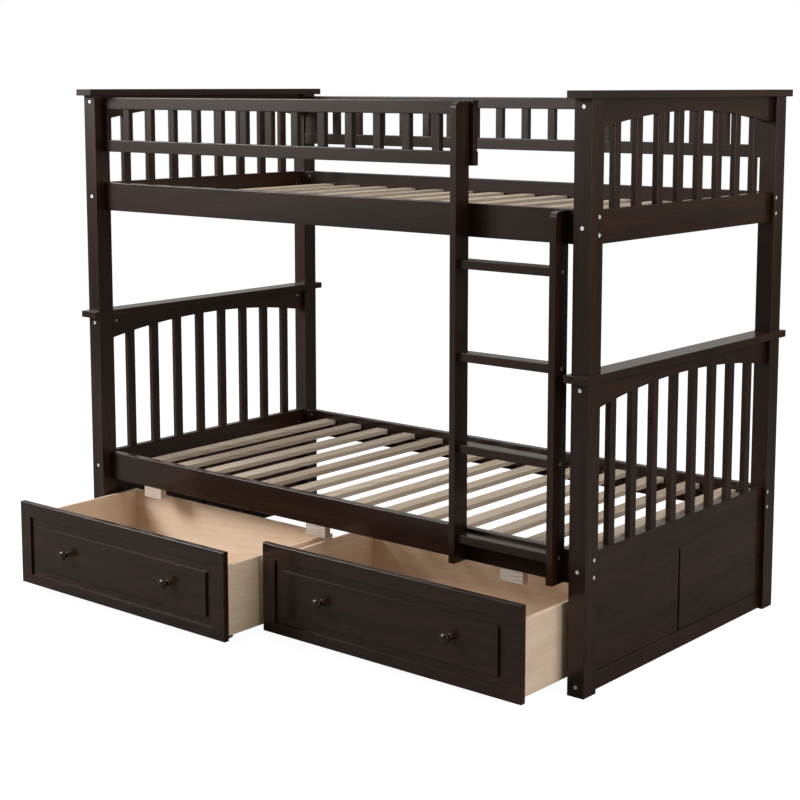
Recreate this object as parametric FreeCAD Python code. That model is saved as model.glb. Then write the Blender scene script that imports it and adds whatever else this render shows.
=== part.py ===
import FreeCAD, Part
import math
import os
from FreeCAD import Vector

# A twin-over-twin bunk bed: two stacked bunks, a bolted ladder and two rolling drawers.
# X runs along the bed, the front (ladder and drawers) faces -Y, Z is up and the floor is Z = 0.
# All sizes are millimetres. Every piece is one board, one turned part or one fastener.

# Posts and caps
bed_length = 2000.0
bed_width = 1063.0
post_x = 53.0
post_y = 60.0
lower_post_height = 853.0
upper_post_height = 716.0
cap_thickness = 21.0
cap_overhang_x = 9.0
cap_overhang_y = 24.5
post_edge_round = 1.0
cap_edge_round = 1.5
edge_round = 2.0

# Side rails and end rails
rail_height = 92.0
rail_thickness = 24.0
rail_inset = 32.6
lower_rail_z = 298.0
upper_rail_lift = 337.5
end_rail_height = 90.0
end_rail_lift = 1.5
arch_middle_height = 36.0
arch_rise = 42.0
bottom_rail_z = 1.0
bottom_rail_height = 52.0
panel_thickness = 15.0
panel_joint_y = -19.0
panel_joint_gap = 4.5
panel_rebate_height = 3.0
panel_rebate_depth = 7.0
batten_width = 60.0

# Spindles in the four ends
spindle_count = 8
spindle_width = 31.0
spindle_thickness = 17.5

# Guard rails of the upper bunk
guard_rail_height = 38.5
guard_rail_spacing = 100.5
guard_top_drop = 6.5
guard_past_ladder = 13.0
baluster_width = 29.0
baluster_thickness = 18.0
baluster_counts = {"front": 13, "back": 16}
guard_end_blocks = {"front": (20.0, 39.0), "back": (61.0, 36.0)}

# Slats and the cleats that carry them
slat_count = 14
slat_width = 51.0
slat_thickness = 15.0
slat_lead = 100.0
slat_tail = 49.0
slat_end_clearance = 3.0
lower_slat_drop = 24.0
upper_slat_drop = 43.5
cleat_thickness = 25.0
cleat_height = 30.0
cleat_end_gap = 42.0
stop_width = 80.0
stop_height = 34.0
stop_to_post = 171.0

# Ladder
ladder_width = 350.0
ladder_post_gap = 36.0
stile_x = 20.0
stile_y = 58.0
stile_foot_lift = 1.0
stile_top_drop = 3.5
stile_nose_radius = 17.0
rung_count = 4
rung_height = 24.5
rung_depth = 46.7
first_rung_top_z = 382.0
rung_pitch = 256.7

# Drawers
drawer_gap = 8.0
drawer_front_thickness = 20.0
drawer_front_bottom_z = 28.0
drawer_front_clearance = 3.5
drawer_frame_width = 48.0
drawer_frame_bottom = 32.0
drawer_frame_top = 44.0
drawer_channel_width = 28.0
drawer_channel_depth = 6.5
drawer_side_inset = 12.0
drawer_wall = 12.0
drawer_side_bottom_z = 37.0
drawer_side_top_z = 248.0
drawer_box_length = 460.0
drawer_bottom_z = 40.0
drawer_bottom_thickness = 6.0
left_drawer_travel = 363.7
right_drawer_travel = 212.2
closed_gap = 0.5

# Knobs
knob_spacing = 464.0
knob_length = 33.0
knob_head_radius = 16.5
knob_head_length = 14.5
knob_dome = 7.0
knob_rim_inset = 1.8
knob_rim_rise = 3.0
knob_neck_radius = 7.0
knob_neck_flare = 0.7
knob_base_radius = 10.5

# Casters
wheel_radius = 12.5
wheel_width = 12.0
wheel_side_gap = 1.0
wheel_bore_clearance = 0.05
axle_radius = 3.0
bracket_sheet = 2.0
bracket_length = 46.0
bracket_ear_margin = 5.0
caster_side_gap = 45.0
caster_end_distance = 74.0

# Fasteners
bolt_radius = 3.0
bolt_hole_clearance = 0.3
bolt_head_radius = 5.5
bolt_head_thickness = 4.0
socket_size = 4.0
socket_depth = 2.2
counterbore_clearance = 1.0
counterbore_depth = 5.0
bolt_grip = 34.0
nut_radius = 5.0
nut_length = 18.0
nut_setback = 1.0
nut_from_rail_end = 26.0
side_bolt_heights = (27.0, 74.5)
arch_bolt_drop = 20.0
ladder_bolt_drop = 30.0
pin_radius = 5.0
pin_clearance = 0.1
pin_depth = 45.0
pin_offset = 14.0

# Places that follow from the sizes above
half_length = bed_length / 2
half_width = bed_width / 2
post_inner_x = half_length - post_x
post_inner_y = half_width - post_y
post_middle_x = half_length - post_x / 2
post_middle_y = half_width - post_y / 2
upper_base_z = lower_post_height + cap_thickness
upper_top_z = upper_base_z + upper_post_height
upper_rail_z = upper_base_z + upper_rail_lift
rail_outer_y = half_width - rail_inset
rail_inner_y = rail_outer_y - rail_thickness
rail_middle_y = rail_outer_y - rail_thickness / 2
end_outer_x = post_middle_x + rail_thickness / 2
bottom_rail_top_z = bottom_rail_z + bottom_rail_height
ladder_right_x = post_inner_x - ladder_post_gap
ladder_left_x = ladder_right_x - ladder_width
guard_right_x = ladder_left_x + stile_x + guard_past_ladder
guard_top_z = upper_top_z - guard_top_drop
guard_low_z = guard_top_z - 2 * guard_rail_height - guard_rail_spacing
drawer_front_top_z = lower_rail_z - drawer_front_clearance
drawer_front_width = (2 * post_inner_x - 3 * drawer_gap) / 2
knob_height_z = (drawer_front_bottom_z + drawer_front_top_z) / 2
stop_spacing = post_inner_x - stop_to_post - stop_width / 2
closed_front_y = -rail_outer_y - drawer_front_thickness - closed_gap
drawers = {
    "left": (-(drawer_gap + drawer_front_width) / 2, closed_front_y - left_drawer_travel),
    "right": ((drawer_gap + drawer_front_width) / 2, closed_front_y - right_drawer_travel),
}
front_limit_y = min(front_y for middle_x, front_y in drawers.values()) - knob_length
back_limit_y = half_width + cap_overhang_y
centre_shift = Vector(0, -(front_limit_y + back_limit_y) / 2, 0)
bunks = {
    "lower": {"base": 0.0, "top": lower_post_height, "rail": lower_rail_z, "drop": lower_slat_drop},
    "upper": {"base": upper_base_z, "top": upper_top_z, "rail": upper_rail_z, "drop": upper_slat_drop},
}
sides = {"left": -1, "right": 1}
faces = {"front": -1, "back": 1}


def block(low, high):
    size = high - low
    return Part.makeBox(size.x, size.y, size.z, low)


def board(low, high, along, radius=edge_round, lowest=None):
    """A box whose edges running along the named axes, and above a given height, are eased."""
    shape = block(low, high)
    edges = [edge for edge in shape.Edges if any(abs(edge.tangentAt(0)[axis]) > 0.9 for axis in along)]
    if lowest is not None:
        edges = [edge for edge in edges if edge.BoundBox.ZMin > lowest]
    return shape.makeFillet(radius, edges)


def mirrored(low, high, side_x, side_y):
    """The corners of a box given for the right back corner, moved to any corner of the bed."""
    xs = sorted((side_x * low.x, side_x * high.x))
    ys = sorted((side_y * low.y, side_y * high.y))
    return Vector(xs[0], ys[0], low.z), Vector(xs[1], ys[1], high.z)


def rod(start, direction, length, radius):
    return Part.makeCylinder(radius, length, start, direction)


def bolt(start, direction, length):
    """A bolt sunk from the face that start lies on; its head is just under the face."""
    head_start = start + direction * (counterbore_depth - bolt_head_thickness)
    head = rod(head_start, direction, bolt_head_thickness, bolt_head_radius)
    shank = rod(head_start, direction, length, bolt_radius)
    return head.fuse(shank).cut(hex_socket(head_start, direction))


def hex_socket(start, direction):
    """The six-sided key hole in a bolt's head."""
    across = direction.cross(Vector(0, 0, 1)) * (socket_size / math.sqrt(3))
    turn = FreeCAD.Rotation(direction, 60)
    corners = [start + across]
    for _ in range(6):
        corners.append(start + turn.multVec(corners[-1] - start))
    return Part.Face(Part.makePolygon(corners)).extrude(direction * socket_depth)


def bolt_hole(start, direction, length):
    bore = rod(start, direction, length + counterbore_depth, bolt_radius + bolt_hole_clearance)
    seat = rod(start, direction, counterbore_depth, bolt_head_radius + counterbore_clearance)
    return bore.fuse(seat)


def corner_bolts(bunk, side_x, side_y):
    """(start, direction, length, towards the middle of the bed) for each bolt of one corner."""
    places = bunks[bunk]
    rail_z = places["rail"]
    bolts = []
    for height in side_bolt_heights:
        start = Vector(side_x * half_length, side_y * rail_middle_y, rail_z + height)
        bolts.append((start, Vector(-side_x, 0, 0), post_x + bolt_grip, Vector(0, -side_y, 0)))
    heights = [rail_z + end_rail_lift + end_rail_height / 2, places["top"] - arch_bolt_drop]
    if bunk == "lower":
        heights.append(bottom_rail_z + bottom_rail_height / 2)
    for height in heights:
        start = Vector(side_x * post_middle_x, side_y * half_width, height)
        bolts.append((start, Vector(0, -side_y, 0), post_y + bolt_grip, Vector(-side_x, 0, 0)))
    return bolts


def every_corner_bolt():
    return [
        place
        for bunk in bunks
        for side_x in sides.values()
        for side_y in faces.values()
        for place in corner_bolts(bunk, side_x, side_y)
    ]


def nut_axis(start, direction, length, inward):
    """The mouth of a barrel nut's hole, on the inner face of the rail that the bolt enters."""
    reach = length - bolt_grip + nut_from_rail_end
    return start + direction * reach + inward * (rail_thickness / 2)


def barrel_nut(start, direction, length, inward):
    mouth = nut_axis(start, direction, length, inward)
    nut = rod(mouth - inward * nut_setback, inward * -1, nut_length, nut_radius)
    return nut.cut(rod(start, direction, length + nut_radius, bolt_radius))


def cut_bolts(shape, places):
    """Cut the bolt holes and the barrel nut holes that reach into a board."""
    for start, direction, length, inward in places:
        hole = bolt_hole(start, direction, length)
        mouth = nut_axis(start, direction, length, inward)
        nut_hole = rod(mouth, inward * -1, nut_length + nut_setback, nut_radius)
        for tool in (hole, nut_hole):
            if tool.BoundBox.intersect(shape.BoundBox):
                shape = shape.cut(tool)
    return shape


def corner_pin(side_x, side_y, clearance=0.0):
    middle_x = side_x * (post_middle_x + pin_offset)
    start = Vector(middle_x, side_y * post_middle_y, lower_post_height - pin_depth)
    return rod(start, Vector(0, 0, 1), 2 * pin_depth + cap_thickness, pin_radius + clearance)


def post(bunk, side_x, side_y):
    base = bunks[bunk]["base"]
    top = bunks[bunk]["top"]
    low, high = mirrored(
        Vector(post_inner_x, post_inner_y, base), Vector(half_length, half_width, top), side_x, side_y
    )
    shape = cut_bolts(board(low, high, (2,), post_edge_round), corner_bolts(bunk, side_x, side_y))
    return shape.cut(corner_pin(side_x, side_y, pin_clearance))


def cap(bunk, side_x):
    """The flat board over one end; it overhangs the posts on every side."""
    base = bunks[bunk]["top"]
    reach = half_width + cap_overhang_y
    low, high = mirrored(
        Vector(post_inner_x - cap_overhang_x, -reach, base),
        Vector(half_length + cap_overhang_x, reach, base + cap_thickness),
        side_x,
        1,
    )
    shape = board(low, high, (0, 1, 2), cap_edge_round)
    for side_y in faces.values():
        if bunk == "lower":
            shape = shape.cut(corner_pin(side_x, side_y, pin_clearance))
    return shape


def arch_rail(bunk, side_x):
    """The top rail of one end: a straight top under the cap and a shallow arch below."""
    top = bunks[bunk]["top"]
    middle = top - arch_middle_height
    foot = middle - arch_rise
    inner = side_x * post_middle_x - rail_thickness / 2
    corners = [
        Vector(inner, -post_inner_y, foot),
        Vector(inner, -post_inner_y, top),
        Vector(inner, post_inner_y, top),
        Vector(inner, post_inner_y, foot),
    ]
    edges = [Part.LineSegment(a, b).toShape() for a, b in zip(corners, corners[1:])]
    edges.append(Part.Arc(corners[3], Vector(inner, 0, middle), corners[0]).toShape())
    shape = Part.Face(Part.Wire(edges)).extrude(Vector(rail_thickness, 0, 0))
    places = [place for side_y in faces.values() for place in corner_bolts(bunk, side_x, side_y)]
    return cut_bolts(shape, places)


def end_board(side_x, z_low, z_high, thickness=rail_thickness, y_low=-post_inner_y, y_high=post_inner_y):
    """The corners of a board centred in the thickness of one end."""
    low = Vector(post_middle_x - thickness / 2, y_low, z_low)
    return mirrored(low, Vector(post_middle_x + thickness / 2, y_high, z_high), side_x, 1)


def end_rail(bunk, side_x):
    """The board under the spindles; its lower edges stay square to meet what is under it."""
    rail_z = bunks[bunk]["rail"] + end_rail_lift
    low, high = end_board(side_x, rail_z, rail_z + end_rail_height)
    places = [place for side_y in faces.values() for place in corner_bolts(bunk, side_x, side_y)]
    return cut_bolts(board(low, high, (1,), edge_round, rail_z + edge_round), places)


def bottom_rail(side_x):
    low, high = end_board(side_x, bottom_rail_z, bottom_rail_top_z)
    places = [place for side_y in faces.values() for place in corner_bolts("lower", side_x, side_y)]
    return cut_bolts(board(low, high, (1,)), places)


def end_panels(side_x):
    """Two boards that fill the end under the lower bunk, rebated outside above its bottom rail."""
    spans = (
        (-post_inner_y, panel_joint_y - panel_joint_gap),
        (panel_joint_y + panel_joint_gap, post_inner_y),
    )
    panels = []
    for y_low, y_high in spans:
        low = Vector(end_outer_x - panel_thickness, y_low, bottom_rail_top_z)
        high = Vector(end_outer_x, y_high, lower_rail_z + end_rail_lift)
        rebate_low = Vector(end_outer_x - panel_rebate_depth, y_low, bottom_rail_top_z)
        rebate_high = Vector(end_outer_x, y_high, bottom_rail_top_z + panel_rebate_height)
        rebate = block(*mirrored(rebate_low, rebate_high, side_x, 1))
        panels.append(block(*mirrored(low, high, side_x, 1)).cut(rebate))
    return panels


def panel_batten(side_x):
    """The strip behind the joint between the two panels of one end."""
    inner = end_outer_x - rail_thickness
    half = batten_width / 2
    low = Vector(inner, panel_joint_y - half, bottom_rail_top_z)
    high = Vector(end_outer_x - panel_thickness, panel_joint_y + half, lower_rail_z + end_rail_lift)
    return board(*mirrored(low, high, side_x, 1), (2,), edge_round / 2)


def even_places(low, high, count, width):
    """The low edges of equal pieces spaced evenly between two faces."""
    gap = (high - low - count * width) / (count + 1)
    return [low + gap + number * (gap + width) for number in range(count)]


def spindles(bunk, side_x):
    """The upright bars of one end, each cut to the arch above it."""
    foot = bunks[bunk]["rail"] + end_rail_lift + end_rail_height
    top = bunks[bunk]["top"]
    arch = arch_rail(bunk, side_x)
    bars = []
    for y_low in even_places(-post_inner_y, post_inner_y, spindle_count, spindle_width):
        low, high = end_board(side_x, foot, top, spindle_thickness, y_low, y_low + spindle_width)
        bars.append(board(low, high, (2,)).cut(arch))
    return bars


def side_rail(bunk, side_y):
    rail_z = bunks[bunk]["rail"]
    low, high = mirrored(
        Vector(-post_inner_x, rail_inner_y, rail_z),
        Vector(post_inner_x, rail_outer_y, rail_z + rail_height),
        1,
        side_y,
    )
    places = [place for side_x in sides.values() for place in corner_bolts(bunk, side_x, side_y)]
    shape = cut_bolts(board(low, high, (0,)), places)
    if side_y == faces["front"]:
        for start, direction, length in rail_to_ladder_bolts():
            shape = shape.cut(bolt_hole(start, direction, length))
    return shape


def cleats(bunk):
    top = bunks[bunk]["rail"] + rail_height - bunks[bunk]["drop"] - slat_thickness
    strips = []
    for side_y in faces.values():
        reach = post_inner_x - cleat_end_gap
        low = Vector(-reach, rail_inner_y - cleat_thickness, top - cleat_height)
        strips.append(block(*mirrored(low, Vector(reach, rail_inner_y, top), 1, side_y)))
    return strips


def slats(bunk):
    top = bunks[bunk]["rail"] + rail_height - bunks[bunk]["drop"]
    reach = rail_inner_y - slat_end_clearance
    first = -post_inner_x + slat_lead
    pitch = (2 * post_inner_x - slat_lead - slat_tail - slat_width) / (slat_count - 1)
    boards = []
    for number in range(slat_count):
        x_low = first + number * pitch
        low = Vector(x_low, -reach, top - slat_thickness)
        boards.append(board(low, Vector(x_low + slat_width, reach, top), (1,), edge_round / 2))
    return boards


def drawer_stops():
    """Three blocks under the lower front rail, which the closed drawer fronts meet."""
    blocks = []
    for middle_x in (-stop_spacing, 0.0, stop_spacing):
        low = Vector(middle_x - stop_width / 2, -rail_outer_y, lower_rail_z - stop_height)
        high = Vector(middle_x + stop_width / 2, -rail_inner_y, lower_rail_z)
        blocks.append(board(low, high, (2,), edge_round / 2))
    return blocks


def guard_rail(side_y, z_low):
    right = guard_right_x if side_y == faces["front"] else post_inner_x
    low, high = mirrored(
        Vector(-post_inner_x, rail_inner_y, z_low),
        Vector(right, rail_outer_y, z_low + guard_rail_height),
        1,
        side_y,
    )
    shape = board(low, high, (0,))
    if side_y == faces["front"]:
        for start, direction, length in rail_to_ladder_bolts():
            shape = shape.cut(bolt_hole(start, direction, length))
    return shape


def balusters(face):
    """The short bars and the two end blocks between a pair of guard rails."""
    side_y = faces[face]
    right = guard_right_x if face == "front" else post_inner_x
    left_width, right_width = guard_end_blocks[face]
    left_block = -post_inner_x + left_width
    right_block = right - right_width
    starts = even_places(left_block, right_block, baluster_counts[face], baluster_width)
    spans = [(x_low, x_low + baluster_width) for x_low in starts]
    spans += [(-post_inner_x, left_block), (right_block, right)]
    foot = guard_low_z + guard_rail_height
    inset = (rail_thickness - baluster_thickness) / 2
    bars = []
    for x_low, x_high in spans:
        low = Vector(x_low, rail_inner_y + inset, foot)
        high = Vector(x_high, rail_outer_y - inset, foot + guard_rail_spacing)
        bars.append(board(*mirrored(low, high, 1, side_y), (2,)))
    return bars


def stile_places():
    """(low x, top z) of the two ladder stiles."""
    left_top = guard_top_z - stile_top_drop
    right_top = upper_rail_z + rail_height - stile_top_drop
    return {"left": (ladder_left_x, left_top), "right": (ladder_right_x - stile_x, right_top)}


def rung_tops():
    return [first_rung_top_z + number * rung_pitch for number in range(rung_count)]


def rung_bolts():
    """One bolt through each stile into each end of each rung."""
    middle_y = -rail_outer_y - rung_depth / 2
    length = stile_x + bolt_grip
    places = []
    for top in rung_tops():
        height = top - rung_height / 2
        places.append((Vector(ladder_left_x, middle_y, height), Vector(1, 0, 0), length))
        places.append((Vector(ladder_right_x, middle_y, height), Vector(-1, 0, 0), length))
    return places


def rail_to_ladder_bolts():
    """Bolts from inside the bed through the rails and guard rails into the stiles."""
    length = rail_thickness + bolt_grip
    towards_front = Vector(0, -1, 0)
    rail_heights = [bunks[bunk]["rail"] + rail_height - ladder_bolt_drop for bunk in bunks]
    guard_heights = [low + guard_rail_height / 2 for low in (guard_low_z, guard_top_z - guard_rail_height)]
    heights = {"left": rail_heights + guard_heights, "right": rail_heights}
    return [
        (Vector(x_low + stile_x / 2, -rail_inner_y, height), towards_front, length)
        for side, (x_low, top) in stile_places().items()
        for height in heights[side]
    ]


def ladder_stile(side):
    """An upright of the ladder, with its top front corner rounded."""
    x_low, top = stile_places()[side]
    low = Vector(x_low, -rail_outer_y - stile_y, lower_rail_z + stile_foot_lift)
    shape = block(low, Vector(x_low + stile_x, -rail_outer_y, top))
    nose = [
        edge
        for edge in shape.Edges
        if abs(edge.tangentAt(0).x) > 0.9 and edge.BoundBox.ZMin > top - 1 and edge.BoundBox.YMax < low.y + 1
    ]
    shape = shape.makeFillet(stile_nose_radius, nose)
    for start, direction, length in rung_bolts() + rail_to_ladder_bolts():
        shape = shape.cut(bolt_hole(start, direction, length))
    return shape


def rungs():
    steps = []
    for top in rung_tops():
        low = Vector(ladder_left_x + stile_x, -rail_outer_y - rung_depth, top - rung_height)
        high = Vector(ladder_right_x - stile_x, -rail_outer_y, top)
        step = board(low, high, (0,))
        for start, direction, length in rung_bolts():
            step = step.cut(bolt_hole(start, direction, length))
        steps.append(step)
    return steps


def drawer_front(middle_x, front_y):
    """A front with a square channel cut round a flat field, which is level with the frame outside it."""
    half = drawer_front_width / 2
    low = Vector(middle_x - half, front_y, drawer_front_bottom_z)
    high = Vector(middle_x + half, front_y + drawer_front_thickness, drawer_front_top_z)
    outer_low = low + Vector(drawer_frame_width, 0, drawer_frame_bottom)
    outer_high = high - Vector(drawer_frame_width, drawer_front_thickness, drawer_frame_top)
    outer_high.y += drawer_channel_depth
    channel = Vector(drawer_channel_width, 0, drawer_channel_width)
    ring = block(outer_low, outer_high).cut(block(outer_low + channel, outer_high - channel))
    return board(low, high, (0, 2)).cut(ring)


def drawer_box(middle_x, front_y):
    """The inside of a drawer's front panel, and the faces of its two sides."""
    back_of_front = front_y + drawer_front_thickness
    outer = drawer_front_width / 2 - drawer_side_inset
    return back_of_front, middle_x - outer, middle_x + outer


def drawer_sides(middle_x, front_y):
    start_y, left_x, right_x = drawer_box(middle_x, front_y)
    walls = []
    for x_low in (left_x, right_x - drawer_wall):
        low = Vector(x_low, start_y, drawer_side_bottom_z)
        high = Vector(x_low + drawer_wall, start_y + drawer_box_length, drawer_side_top_z)
        walls.append(board(low, high, (1,)))
    return walls


def drawer_back(middle_x, front_y):
    start_y, left_x, right_x = drawer_box(middle_x, front_y)
    end_y = start_y + drawer_box_length
    low = Vector(left_x + drawer_wall, end_y - drawer_wall, drawer_side_bottom_z)
    high = Vector(right_x - drawer_wall, end_y, drawer_side_top_z)
    return board(low, high, (0,))


def drawer_bottom(middle_x, front_y):
    start_y, left_x, right_x = drawer_box(middle_x, front_y)
    low = Vector(left_x + drawer_wall, start_y, drawer_bottom_z)
    high = Vector(
        right_x - drawer_wall,
        start_y + drawer_box_length - drawer_wall,
        drawer_bottom_z + drawer_bottom_thickness,
    )
    return block(low, high)


def knob(middle_x, front_y):
    """A turned knob: a flared foot, a narrow neck and a domed head."""
    neck_end = knob_length - knob_head_length
    shoulder = knob_length - knob_dome
    dome_radius = (knob_head_radius**2 + knob_dome**2) / (2 * knob_dome)
    half_angle = math.asin(knob_head_radius / dome_radius) / 2
    dome_middle = dome_radius * (1 - math.cos(half_angle))
    foot = Vector(middle_x, front_y, knob_height_z)

    def at(radius, out):
        return foot + Vector(radius, -out, 0)

    def arc(*points):
        return Part.Arc(*[at(*point) for point in points]).toShape()

    base = (knob_base_radius, 0)
    neck = (knob_neck_radius, neck_end)
    rim = (knob_head_radius, shoulder)
    tip = (0, knob_length)
    edges = [
        Part.LineSegment(at(0, 0), at(*base)).toShape(),
        arc(base, (knob_neck_radius + knob_neck_flare, neck_end / 3), neck),
        arc(neck, (knob_head_radius - knob_rim_inset, neck_end + knob_rim_rise), rim),
        arc(rim, (dome_radius * math.sin(half_angle), knob_length - dome_middle), tip),
        Part.LineSegment(at(*tip), at(0, 0)).toShape(),
    ]
    return Part.Face(Part.Wire(edges)).revolve(foot, Vector(0, 1, 0), 360)


def knobs(middle_x, front_y):
    return [knob(middle_x + side * knob_spacing / 2, front_y) for side in sides.values()]


def caster_places(middle_x, front_y):
    """{'front' or 'rear': [two wheel centres]} under one drawer."""
    start_y, left_x, right_x = drawer_box(middle_x, front_y)
    reach = drawer_wall + caster_side_gap + bracket_sheet + wheel_side_gap + wheel_width / 2
    rows = {
        "front": start_y + caster_end_distance,
        "rear": start_y + drawer_box_length - drawer_wall - caster_end_distance,
    }
    return {
        row: [Vector(x, y, wheel_radius) for x in (left_x + reach, right_x - reach)]
        for row, y in rows.items()
    }


def caster_bracket(centre):
    """A folded sheet fork: a plate under the drawer bottom and two ears that hold the axle."""
    inner = wheel_width / 2 + wheel_side_gap
    outer = inner + bracket_sheet
    half = bracket_length / 2
    top = drawer_bottom_z
    plate_low = Vector(centre.x - outer, centre.y - half, top - bracket_sheet)
    shape = block(plate_low, Vector(centre.x + outer, centre.y + half, top))
    ear_half = axle_radius + bracket_ear_margin
    for side in sides.values():
        ear = sorted((centre.x + side * inner, centre.x + side * outer))
        low = Vector(ear[0], centre.y - ear_half, centre.z - ear_half)
        shape = shape.fuse(block(low, Vector(ear[1], centre.y + ear_half, top - bracket_sheet)))
    hole = rod(centre - Vector(outer, 0, 0), Vector(1, 0, 0), 2 * outer, axle_radius)
    return shape.removeSplitter().cut(hole)


def axle(centre):
    reach = wheel_width / 2 + wheel_side_gap + bracket_sheet
    return rod(centre - Vector(reach, 0, 0), Vector(1, 0, 0), 2 * reach, axle_radius)


def casters(middle_x, front_y):
    centres = [centre for row in caster_places(middle_x, front_y).values() for centre in row]
    return [caster_bracket(centre) for centre in centres] + [axle(centre) for centre in centres]


def wheel(centre):
    tread = rod(centre - Vector(wheel_width / 2, 0, 0), Vector(1, 0, 0), wheel_width, wheel_radius)
    tread = tread.makeFillet(edge_round, [edge for edge in tread.Edges if len(edge.Vertexes) == 1])
    bore = axle_radius + wheel_bore_clearance
    return tread.cut(rod(centre - Vector(wheel_width, 0, 0), Vector(1, 0, 0), 2 * wheel_width, bore))


def wheels(middle_x, front_y, row):
    return [wheel(centre) for centre in caster_places(middle_x, front_y)[row]]


def save(name, shapes):
    """Write one node: a single solid, or a group of separate solids of the same kind."""
    group = shapes if isinstance(shapes, list) else [shapes]
    moved = [shape.translated(centre_shift) for shape in group]
    whole = moved[0] if len(moved) == 1 else Part.makeCompound(moved)
    whole.exportStep(os.path.join("parts", name + ".step"))


os.makedirs("parts", exist_ok=True)

for bunk in bunks:
    for side, side_x in sides.items():
        for face, side_y in faces.items():
            save(f"{bunk}_{face}_{side}_post", post(bunk, side_x, side_y))
        save(f"{bunk}_{side}_arch_rail", arch_rail(bunk, side_x))
    save(f"{bunk}_spindles", [bar for side_x in sides.values() for bar in spindles(bunk, side_x)])
    save(f"{bunk}_caps", [cap(bunk, side_x) for side_x in sides.values()])
    save(f"{bunk}_end_rails", [end_rail(bunk, side_x) for side_x in sides.values()])
    for face, side_y in faces.items():
        save(f"{bunk}_{face}_rail", side_rail(bunk, side_y))
    save(f"{bunk}_cleats", cleats(bunk))
    save(f"{bunk}_slats", slats(bunk))

save("bottom_rails", [bottom_rail(side_x) for side_x in sides.values()])
save("panel_battens", [panel_batten(side_x) for side_x in sides.values()])
save("end_panels", [panel for side_x in sides.values() for panel in end_panels(side_x)])
save("drawer_stops", drawer_stops())

for face, side_y in faces.items():
    save(f"{face}_guard_top_rail", guard_rail(side_y, guard_top_z - guard_rail_height))
    save(f"{face}_guard_low_rail", guard_rail(side_y, guard_low_z))
    save(f"{face}_guard_balusters", balusters(face))

for side in sides:
    save(f"ladder_{side}_stile", ladder_stile(side))
save("ladder_rungs", rungs())

save("bed_bolts", [bolt(start, way, length) for start, way, length, inward in every_corner_bolt()])
save("barrel_nuts", [barrel_nut(*place) for place in every_corner_bolt()])
save("ladder_bolts", [bolt(*place) for place in rung_bolts() + rail_to_ladder_bolts()])
save("bunk_pins", [corner_pin(side_x, side_y) for side_x in sides.values() for side_y in faces.values()])

for side, (middle_x, front_y) in drawers.items():
    save(f"{side}_drawer_front", drawer_front(middle_x, front_y))
    save(f"{side}_drawer_sides", drawer_sides(middle_x, front_y))
    save(f"{side}_drawer_back", drawer_back(middle_x, front_y))
    save(f"{side}_drawer_bottom", drawer_bottom(middle_x, front_y))
    save(f"{side}_drawer_knobs", knobs(middle_x, front_y))
    save(f"{side}_drawer_casters", casters(middle_x, front_y))
    save(f"{side}_front_wheels", wheels(middle_x, front_y, "front"))
    save(f"{side}_rear_wheels", wheels(middle_x, front_y, "rear"))
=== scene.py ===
import bmesh
import bpy
import math
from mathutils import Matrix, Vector


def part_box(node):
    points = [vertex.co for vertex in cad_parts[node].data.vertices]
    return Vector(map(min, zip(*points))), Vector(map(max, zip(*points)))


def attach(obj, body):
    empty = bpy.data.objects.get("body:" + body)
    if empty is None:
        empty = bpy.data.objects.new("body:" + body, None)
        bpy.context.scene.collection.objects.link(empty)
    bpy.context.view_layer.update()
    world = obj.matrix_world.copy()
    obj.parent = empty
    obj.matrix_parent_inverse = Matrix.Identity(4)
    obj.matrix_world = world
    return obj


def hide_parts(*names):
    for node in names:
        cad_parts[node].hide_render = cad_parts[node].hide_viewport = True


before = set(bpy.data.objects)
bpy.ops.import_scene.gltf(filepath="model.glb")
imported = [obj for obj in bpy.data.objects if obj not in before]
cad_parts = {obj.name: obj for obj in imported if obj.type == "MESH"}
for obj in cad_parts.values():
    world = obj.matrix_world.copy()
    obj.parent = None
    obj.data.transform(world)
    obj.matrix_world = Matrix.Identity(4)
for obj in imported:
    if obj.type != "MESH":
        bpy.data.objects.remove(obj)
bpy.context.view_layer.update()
scene = bpy.context.scene

# The view: from the front right corner at standing height, with a long lens.
# The lens is shifted down a little, so that the posts stay close to upright.
EYE = (3.343, -3.914, 1.624)
DEGREES_DOWN = 7.53
DEGREES_LEFT = 39.91
camera_data = bpy.data.cameras.new("camera")
camera_data.lens = 74.5
camera_data.sensor_width = 36.0
camera_data.shift_y = -0.12
camera_data.clip_end = 60.0
camera = bpy.data.objects.new("camera", camera_data)
camera.location = EYE
camera.rotation_euler = (math.radians(90 - DEGREES_DOWN), 0, math.radians(DEGREES_LEFT))
scene.collection.objects.link(camera)
scene.camera = camera
scene.view_settings.view_transform = "Standard"


# The studio: a pale seamless floor under an even white surround.
# The floor and surround are bright to the eye but give back little light, so the dark stain stays deep.
def linear(hex_colour):
    """An sRGB hex value as the linear colour that a shader takes."""
    channels = [int(hex_colour[place : place + 2], 16) / 255 for place in (1, 3, 5)]
    return [c / 12.92 if c <= 0.04045 else ((c + 0.055) / 1.055) ** 2.4 for c in channels] + [1.0]


def add(tree, kind, settings=None, links=None):
    """Adds a node. A setting is one of its properties, an input's value, or the (position, hex colour)
    stops of a colour ramp. A link joins an input to a socket."""
    node = tree.nodes.new(kind)
    for name, value in (settings or {}).items():
        if name == "stops":
            elements = node.color_ramp.elements
            elements.remove(elements[1])
            elements[0].position = value[0][0]
            elements[0].color = linear(value[0][1])
            for position, colour in value[1:]:
                elements.new(position).color = linear(colour)
        elif isinstance(name, str) and hasattr(node, name):
            setattr(node, name, value)
        else:
            node.inputs[name].default_value = value
    for name, socket in (links or {}).items():
        tree.links.new(socket, node.inputs[name])
    return node


def unfinished(name):
    """A material with no nodes yet."""
    material = bpy.data.materials.new(name)
    material.use_nodes = True
    material.node_tree.nodes.clear()
    return material


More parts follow.
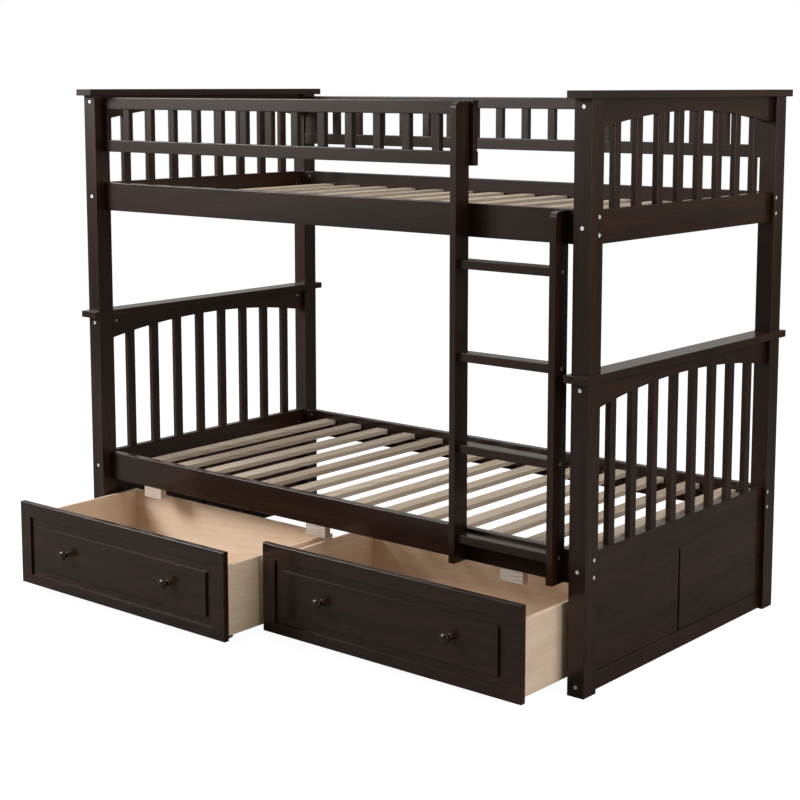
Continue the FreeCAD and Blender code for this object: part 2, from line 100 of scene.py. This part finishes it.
world = bpy.data.worlds.new("studio")
scene.world = world
world.use_nodes = True
sky = world.node_tree
sky.nodes.clear()
seen = add(sky, "ShaderNodeLightPath").outputs["Is Camera Ray"]
glow = add(sky, "ShaderNodeBackground", {"Color": linear("#f6ebdd"), "Strength": 0.26})
backdrop = add(sky, "ShaderNodeBackground", {"Color": linear("#ffffff"), "Strength": 1.0})
surround = add(sky, "ShaderNodeMixShader", None, {0: seen, 1: glow.outputs[0], 2: backdrop.outputs[0]})
add(sky, "ShaderNodeOutputWorld", None, {"Surface": surround.outputs[0]})

FLOOR_REACH = 14.0
floor_mesh = bmesh.new()
bmesh.ops.create_grid(floor_mesh, x_segments=1, y_segments=1, size=FLOOR_REACH)
floor_data = bpy.data.meshes.new("floor")
floor_mesh.to_mesh(floor_data)
floor_mesh.free()
floor = bpy.data.objects.new("floor", floor_data)
scene.collection.objects.link(floor)
paper = unfinished("seamless white paper")
tree = paper.node_tree
seen = add(tree, "ShaderNodeLightPath").outputs["Is Camera Ray"]
lit = add(tree, "ShaderNodeBsdfDiffuse", {"Color": linear("#868684")})
bright = add(tree, "ShaderNodeEmission", {"Color": linear("#ffffff"), "Strength": 0.96})
faint = add(tree, "ShaderNodeBsdfDiffuse", {"Color": linear("#828282")})
pale = add(tree, "ShaderNodeAddShader", None, {0: bright.outputs[0], 1: faint.outputs[0]})
sheet = add(tree, "ShaderNodeMixShader", None, {0: seen, 1: lit.outputs[0], 2: pale.outputs[0]})
add(tree, "ShaderNodeOutputMaterial", None, {"Surface": sheet.outputs[0]})
floor_data.materials.append(paper)

# The soft boxes: one over the front left, a weaker one from the right, one overhead, and one behind the bed.
# The one behind puts the pale sheen on the level tops of caps, rails and rungs. All face the bed's middle.
# Each row holds a name, a place, a width and a height in metres, and a power in watts.
SOFT_BOXES = (
    ("key", (-3.6, -3.2, 3.0), 1.8, 1.8, 245.0),
    ("fill", (4.5, 0.2, 2.3), 2.4, 2.4, 106.0),
    ("back", (-4.6, 5.4, 2.4), 6.0, 3.2, 18.0),
    ("top", (0.0, 0.0, 4.6), 3.6, 2.8, 70.0),
)
MIDDLE_OF_BED = Vector((0, 0, 0.8))
for name, place, width, height, watts in SOFT_BOXES:
    light = bpy.data.lights.new(name, "AREA")
    light.shape = "RECTANGLE"
    light.size = width
    light.size_y = height
    light.energy = watts
    lamp = bpy.data.objects.new(name, light)
    lamp.location = place
    lamp.rotation_euler = (MIDDLE_OF_BED - Vector(place)).to_track_quat("-Z", "Y").to_euler()
    lamp.visible_camera = False
    scene.collection.objects.link(lamp)


# The posts: eight square lengths of solid pine, planed, eased at the edges and stained espresso.
# A satin lacquer over the stain shows the straight grain as faint streaks and fine open pores.
# The upper four stand over the lower four, held by steel pins.
MM = 0.001
GRAIN_AXES = {"X": 0, "Y": 1, "Z": 2}
STREAK_WIDTH = 38 * MM
# How many times longer than wide each mark in the grain is drawn, and its tilt off the grain in degrees.
STREAK_STRETCH, STREAK_TILT = 16.0, 1.0
RING_STRETCH, RING_TILT = 7.0, 2.5
PORE_STRETCH, PORE_TILT = 26.0, 0.4
# A wave texture of scale 1 repeats every 0.314 m.
WAVE_SPACING = 0.314
# The rings' share of the relief, beside the pores' whole one, and the depth of both together.
RING_RELIEF = 0.35
GRAIN_DEPTH = 0.3 * MM
# The range that most of a noise lies in, and how much duller the pores and glossier the rest are.
NOISE_LOW, NOISE_HIGH = 0.3, 0.7
DULLER, GLOSSIER = 0.08, 0.05
# Where a Mix node takes its two colours and gives their mixture.
FIRST_COLOUR, SECOND_COLOUR, MIXED_COLOUR = 6, 7, 2


def grain_space(tree, along, stretch, tilt):
    """Object coordinates squeezed along the grain, and turned a little so that the figure drifts."""
    place = add(tree, "ShaderNodeTexCoord").outputs["Object"]
    squeeze = [1.0, 1.0, 1.0]
    squeeze[GRAIN_AXES[along]] = 1.0 / stretch
    turn = [math.radians(tilt)] * 3
    turn[GRAIN_AXES[along]] = 0.0
    drifting = add(tree, "ShaderNodeMapping", {"Rotation": turn}, {"Vector": place})
    return add(tree, "ShaderNodeMapping", {"Scale": squeeze}, {"Vector": drifting.outputs[0]}).outputs[0]


def wood(name, along, look, tint=None):
    """A board's material: slow streaks, growth rings and fine pores, all running along the grain.
    Ring and pore widths are in millimetres. Real pores are finer, and are drawn wide enough to show."""
    material = unfinished(f"{name}, grain along {along}")
    tree = material.node_tree
    slow = add(
        tree,
        "ShaderNodeTexNoise",
        {"Scale": 1 / STREAK_WIDTH, "Detail": 4.0, "Roughness": 0.55},
        {"Vector": grain_space(tree, along, STREAK_STRETCH, STREAK_TILT)},
    ).outputs["Fac"]
    ring = add(
        tree,
        "ShaderNodeTexWave",
        {
            "wave_type": "RINGS",
            "rings_direction": along,
            "Scale": WAVE_SPACING / (look["ring width"] * MM),
            "Distortion": 7.0,
            "Detail": 3.0,
            "Detail Scale": 0.35,
            "Detail Roughness": 0.6,
        },
        {"Vector": grain_space(tree, along, RING_STRETCH, RING_TILT)},
    ).outputs["Fac"]
    pores = add(
        tree,
        "ShaderNodeTexNoise",
        {"Scale": 1 / (look["pore width"] * MM), "Detail": 3.0, "Roughness": 0.6},
        {"Vector": grain_space(tree, along, PORE_STRETCH, PORE_TILT)},
    ).outputs["Fac"]
    colour = add(tree, "ShaderNodeValToRGB", {"stops": look["streaks"]}, {"Fac": slow}).outputs["Color"]
    rings = add(tree, "ShaderNodeValToRGB", {"stops": look["rings"]}, {"Fac": ring}).outputs["Color"]
    pits = add(
        tree, "ShaderNodeValToRGB", {"stops": ((0.32, look["pores"]), (0.5, "#ffffff"))}, {"Fac": pores}
    ).outputs["Color"]
    layers = [(look["ring strength"], rings)]
    if tint is not None:
        layers.append((1.0, tint(tree)))
    layers.append((1.0, pits))
    for strength, layer in layers:
        colour = add(
            tree,
            "ShaderNodeMix",
            {"data_type": "RGBA", "blend_type": "MULTIPLY", 0: strength},
            {FIRST_COLOUR: colour, SECOND_COLOUR: layer},
        ).outputs[MIXED_COLOUR]
    rough = add(
        tree,
        "ShaderNodeMapRange",
        {
            "From Min": NOISE_LOW,
            "From Max": NOISE_HIGH,
            "To Min": look["rough"] + DULLER,
            "To Max": look["rough"] - GLOSSIER,
        },
        {"Value": pores},
    ).outputs[0]
    height = add(
        tree, "ShaderNodeMath", {"operation": "MULTIPLY_ADD", 1: RING_RELIEF}, {0: ring, 2: pores}
    ).outputs[0]
    bump = add(
        tree, "ShaderNodeBump", {"Strength": look["relief"], "Distance": GRAIN_DEPTH}, {"Height": height}
    ).outputs[0]
    shader = add(
        tree,
        "ShaderNodeBsdfPrincipled",
        {"IOR": 1.5, "Specular IOR Level": 0.3, "Coat Weight": look["coat"], "Coat Roughness": 0.14},
        {"Base Color": colour, "Roughness": rough, "Normal": bump},
    )
    add(tree, "ShaderNodeOutputMaterial", None, {"Surface": shader.outputs[0]})
    return material


def dress(material, *nodes):
    """Gives CAD nodes a material."""
    for node in nodes:
        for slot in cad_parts[node].material_slots:
            slot.material = material


ESPRESSO_STREAKS = ((0.3, "#1f0f06"), (0.5, "#2b160a"), (0.72, "#382010"))
ESPRESSO_RINGS = ((0.0, "#a89a92"), (0.45, "#f2eeec"), (1.0, "#ffffff"))
ESPRESSO_LOOK = {
    "streaks": ESPRESSO_STREAKS,
    "rings": ESPRESSO_RINGS,
    "ring width": 9.0,
    "ring strength": 0.4,
    "pores": "#8f837c",
    "pore width": 1.6,
    "rough": 0.36,
    "relief": 0.14,
    "coat": 0.45,
}
espresso = {along: wood("espresso stained pine", along, ESPRESSO_LOOK) for along in GRAIN_AXES}
for bunk in ("lower", "upper"):
    for side in ("left", "right"):
        dress(espresso["Z"], f"{bunk}_front_{side}_post", f"{bunk}_back_{side}_post")

# The bed ends: an arched rail over a row of spindles, a flat cap on top and a straight rail below.
# All are stained pine with the grain along each piece, and the rails are bolted between the posts.
for bunk in ("lower", "upper"):
    dress(espresso["Y"], f"{bunk}_left_arch_rail", f"{bunk}_right_arch_rail")
    dress(espresso["Y"], f"{bunk}_caps", f"{bunk}_end_rails")
    dress(espresso["Z"], f"{bunk}_spindles")

# The end panels: two stained pine boards side by side, closing each end under the lower bunk.
# They stand on a bottom rail, and an upright batten inside covers the joint between them.
dress(espresso["Y"], "bottom_rails", "end_panels")
dress(espresso["Z"], "panel_battens")

# The side rails: one stained pine board on each long side of each bunk, bolted to the posts.
# A cleat along the inside of each carries the ends of the slats.
for bunk in ("lower", "upper"):
    dress(espresso["X"], f"{bunk}_front_rail", f"{bunk}_back_rail", f"{bunk}_cleats")


# The bolts, barrel nuts and pins: nickel-plated bolts with hexagon sockets, sunk in the posts.
# Their plating is a soft bright white. The nuts and pins inside the joints are zinc-plated and greyer.
PLATING_DEPTH = 0.05 * MM
BRIGHTER_SPOTS, DULLER_SPOTS = 0.08, 0.1


def metal(name, colour, roughness, grit):
    """Plated steel: a smooth bright coat with a fine unevenness in its gloss. The grit is in millimetres,
    and coarser than the real one so that it shows."""
    material = unfinished(name)
    tree = material.node_tree
    place = add(tree, "ShaderNodeTexCoord").outputs["Object"]
    speckle = add(
        tree, "ShaderNodeTexNoise", {"Scale": 1 / (grit * MM), "Detail": 3.0}, {"Vector": place}
    ).outputs["Fac"]
    rough = add(
        tree,
        "ShaderNodeMapRange",
        {"To Min": roughness - BRIGHTER_SPOTS, "To Max": roughness + DULLER_SPOTS},
        {"Value": speckle},
    ).outputs[0]
    bump = add(
        tree, "ShaderNodeBump", {"Strength": 0.1, "Distance": PLATING_DEPTH}, {"Height": speckle}
    ).outputs[0]
    shader = add(
        tree,
        "ShaderNodeBsdfPrincipled",
        {"Base Color": linear(colour), "Metallic": 1.0},
        {"Roughness": rough, "Normal": bump},
    )
    add(tree, "ShaderNodeOutputMaterial", None, {"Surface": shader.outputs[0]})
    return material


nickel = metal("nickel-plated steel", "#fbfaf7", roughness=0.56, grit=0.8)
zinc = metal("zinc-plated steel", "#b9bcbf", roughness=0.38, grit=0.6)
dress(nickel, "bed_bolts")
dress(zinc, "barrel_nuts", "bunk_pins")

# The slats: sanded, unfinished pine laths laid across the bed on the cleats, each cut from another board.
# They are pale pinkish tan, with narrow darker growth lines, and no two have quite the same tone.
SLAT_COUNT = 14
SLAT_WIDTH = 51 * MM
SLAT_TONES = ((0.0, "#ddd6cd"), (0.5, "#efe9e1"), (1.0, "#f7f2ea"))
slat_low, slat_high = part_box("lower_slats")
slat_pitch = (slat_high.x - slat_low.x - SLAT_WIDTH) / (SLAT_COUNT - 1)


def slat_tone(tree):
    """A tone that changes from one slat to the next."""
    place = add(tree, "ShaderNodeTexCoord").outputs["Object"]
    x = add(tree, "ShaderNodeSeparateXYZ", None, {0: place}).outputs[0]
    first = slat_low.x - (slat_pitch - SLAT_WIDTH) / 2
    count = add(
        tree,
        "ShaderNodeMapRange",
        {"clamp": False, "From Min": first, "From Max": first + slat_pitch},
        {"Value": x},
    ).outputs[0]
    number = add(tree, "ShaderNodeMath", {"operation": "FLOOR"}, {0: count}).outputs[0]
    lot = add(tree, "ShaderNodeTexWhiteNoise", {"noise_dimensions": "1D"}, {"W": number}).outputs["Value"]
    return add(tree, "ShaderNodeValToRGB", {"stops": SLAT_TONES}, {"Fac": lot}).outputs["Color"]


PINE_LOOK = {
    "streaks": ((0.3, "#cfc5ba"), (0.5, "#d9d0c6"), (0.72, "#e1dad1")),
    "rings": ((0.0, "#cdbba8"), (0.3, "#f1e9e0"), (1.0, "#ffffff")),
    "ring width": 6.0,
    "ring strength": 0.55,
    "pores": "#e2d4c5",
    "pore width": 1.2,
    "rough": 0.62,
    "relief": 0.3,
    "coat": 0.0,
}
dress(wood("sanded pine", "Y", PINE_LOOK, slat_tone), "lower_slats", "upper_slats")

# The stop blocks: three short lengths of the same sanded pine under the lower front rail.
# Their grain runs along the rail, and their pale sawn faces are left bare.
dress(wood("sanded pine", "X", PINE_LOOK), "drawer_stops")

# The guard rails: thin pine rails with short upright bars between them, in the same stain as the bed.
# The front one stops beside the ladder, and its end blocks close the gaps at the post and the stile.
for face in ("front", "back"):
    dress(espresso["X"], f"{face}_guard_top_rail", f"{face}_guard_low_rail")
    dress(espresso["Z"], f"{face}_guard_balusters")

# The ladder: one long and one short flat stile with four rungs between them, all of stained pine.
# Nickel-plated bolts like the bed's go through the stiles into the rungs and the rails.
dress(espresso["Z"], "ladder_left_stile", "ladder_right_stile")
dress(espresso["X"], "ladder_rungs")
dress(nickel, "ladder_bolts")

# The drawers: a stained front on a box of pale clear-coated board with a thin bottom.
# The board is cut from wide glued panels, so its grain is faint and its tone even.
BOARD_LOOK = {
    "streaks": ((0.3, "#e5cbb0"), (0.5, "#ebd3ba"), (0.72, "#f1ddc7")),
    "rings": ((0.0, "#e3cfb8"), (0.4, "#f8f0e6"), (1.0, "#ffffff")),
    "ring width": 14.0,
    "ring strength": 0.14,
    "pores": "#f6efe7",
    "pore width": 1.4,
    "rough": 0.42,
    "relief": 0.04,
    "coat": 0.1,
}
board = {along: wood("clear-coated board", along, BOARD_LOOK) for along in ("X", "Y")}
for side in ("left", "right"):
    dress(espresso["X"], f"{side}_drawer_front")
    dress(board["Y"], f"{side}_drawer_sides")
    dress(board["X"], f"{side}_drawer_back", f"{side}_drawer_bottom")


# The knobs: turned wood, stained like the fronts but lacquered glossier, screwed on from inside.
# Each has a flared foot, a waisted neck and a low domed head with a soft rim.
# The outline gives radii and distances from the front, in millimetres.
KNOB_OUTLINE = (
    (0.0, 0.0),
    (9.9, 0.0),
    (10.4, 0.6),
    (9.9, 2.0),
    (7.9, 4.2),
    (6.9, 8.6),
    (7.3, 13.8),
    (10.4, 17.6),
    (14.4, 19.7),
    (16.3, 22.2),
    (16.2, 25.2),
    (14.3, 28.4),
    (9.9, 31.3),
    (4.7, 32.6),
    (0.0, 33.0),
)
KNOB_RADIUS = 16.5 * MM
KNOB_STEPS = 24
SAME_POINT = 0.01 * MM
KNOB_LOOK = {
    "streaks": ESPRESSO_STREAKS,
    "rings": ESPRESSO_RINGS,
    "ring width": 4.0,
    "ring strength": 0.4,
    "pores": "#a89d96",
    "pore width": 1.2,
    "rough": 0.26,
    "relief": 0.08,
    "coat": 0.5,
}


def turned(name, outline, axis, places, steps):
    """Pieces turned on a lathe: one outline of (radius, distance along) spun about an axis at each place."""
    shape = bmesh.new()
    out = Vector((0, 0, 1)) if axis.z == 0 else Vector((1, 0, 0))
    for place in places:
        points = [shape.verts.new(place + out * radius * MM + axis * along * MM) for radius, along in outline]
        edges = [shape.edges.new(pair) for pair in zip(points, points[1:])]
        bmesh.ops.spin(
            shape, geom=points + edges, cent=place, axis=axis, angle=math.tau, steps=steps, use_merge=True
        )
    bmesh.ops.remove_doubles(shape, verts=shape.verts, dist=SAME_POINT)
    bmesh.ops.recalc_face_normals(shape, faces=shape.faces)
    for face in shape.faces:
        face.smooth = True
    data = bpy.data.meshes.new(name)
    shape.to_mesh(data)
    shape.free()
    piece = bpy.data.objects.new(name, data)
    scene.collection.objects.link(piece)
    smooth = piece.modifiers.new("rounding", "SUBSURF")
    smooth.levels = smooth.render_levels = 2
    return piece


lacquered = wood("lacquered turned wood", "Y", KNOB_LOOK)
for side in ("left", "right"):
    low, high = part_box(f"{side}_drawer_knobs")
    height = (low.z + high.z) / 2
    feet = [Vector((x, high.y, height)) for x in (low.x + KNOB_RADIUS, high.x - KNOB_RADIUS)]
    knobs = turned(f"{side}_turned_knobs", KNOB_OUTLINE, Vector((0, -1, 0)), feet, KNOB_STEPS)
    knobs.data.materials.append(lacquered)
    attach(knobs, f"{side}_drawer")
    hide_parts(f"{side}_drawer_knobs")

# The caster forks: zinc-plated sheet, pressed and folded to hold a steel pin, screwed under each drawer.
# The plating is a dull blue-grey with a fine unevenness from the press.
pressed_sheet = metal("pressed zinc-plated sheet", "#b4b7ba", roughness=0.42, grit=0.6)
dress(pressed_sheet, "left_drawer_casters", "right_drawer_casters")

# The caster wheels: moulded grey nylon with a round-shouldered tread, a sunk web and a hub.
# Each runs on the pin of its fork. Its sides carry scuffs and a faint moulding grit, drawn coarse to show.
# The outline gives radii and distances from the wheel's middle, in millimetres.
WHEEL_HALF = (
    (3.1, -5.9),
    (4.9, -5.9),
    (5.3, -5.5),
    (5.5, -3.6),
    (8.2, -3.6),
    (8.7, -4.0),
    (8.9, -5.5),
    (9.4, -6.0),
    (10.6, -6.0),
    (11.9, -5.2),
    (12.5, -3.2),
)
OTHER_HALF = tuple((radius, -along) for radius, along in reversed(WHEEL_HALF))
WHEEL_OUTLINE = WHEEL_HALF + OTHER_HALF + WHEEL_HALF[:1]
WHEEL_WIDTH = 12 * MM
WHEEL_STEPS = 28
MOULD_GRIT = 0.7 * MM
MOULD_DEPTH = 0.05 * MM
SCUFF_WIDTH = 9 * MM
NYLON_GREYS = ((0.35, "#a9a8a2"), (0.6, "#bdbcb6"))
nylon = unfinished("moulded grey nylon")
tree = nylon.node_tree
place = add(tree, "ShaderNodeTexCoord").outputs["Object"]
mould = add(
    tree, "ShaderNodeTexNoise", {"Scale": 1 / MOULD_GRIT, "Detail": 2.0}, {"Vector": place}
).outputs["Fac"]
scuffs = add(
    tree, "ShaderNodeTexNoise", {"Scale": 1 / SCUFF_WIDTH, "Detail": 5.0}, {"Vector": place}
).outputs["Fac"]
grey = add(tree, "ShaderNodeValToRGB", {"stops": NYLON_GREYS}, {"Fac": scuffs}).outputs["Color"]
rough = add(tree, "ShaderNodeMapRange", {"To Min": 0.38, "To Max": 0.6}, {"Value": scuffs}).outputs[0]
bump = add(tree, "ShaderNodeBump", {"Strength": 0.2, "Distance": MOULD_DEPTH}, {"Height": mould}).outputs[0]
shader = add(
    tree, "ShaderNodeBsdfPrincipled", {"IOR": 1.53}, {"Base Color": grey, "Roughness": rough, "Normal": bump}
)
add(tree, "ShaderNodeOutputMaterial", None, {"Surface": shader.outputs[0]})
for side in ("left", "right"):
    for row in ("front", "rear"):
        low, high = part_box(f"{side}_{row}_wheels")
        middle = (low + high) / 2
        hubs = [Vector((x, middle.y, middle.z)) for x in (low.x + WHEEL_WIDTH / 2, high.x - WHEEL_WIDTH / 2)]
        wheels = turned(f"{side}_{row}_nylon_wheels", WHEEL_OUTLINE, Vector((1, 0, 0)), hubs, WHEEL_STEPS)
        wheels.data.materials.append(nylon)
        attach(wheels, f"{side}_{row}_wheel_pair")
        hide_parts(f"{side}_{row}_wheels")
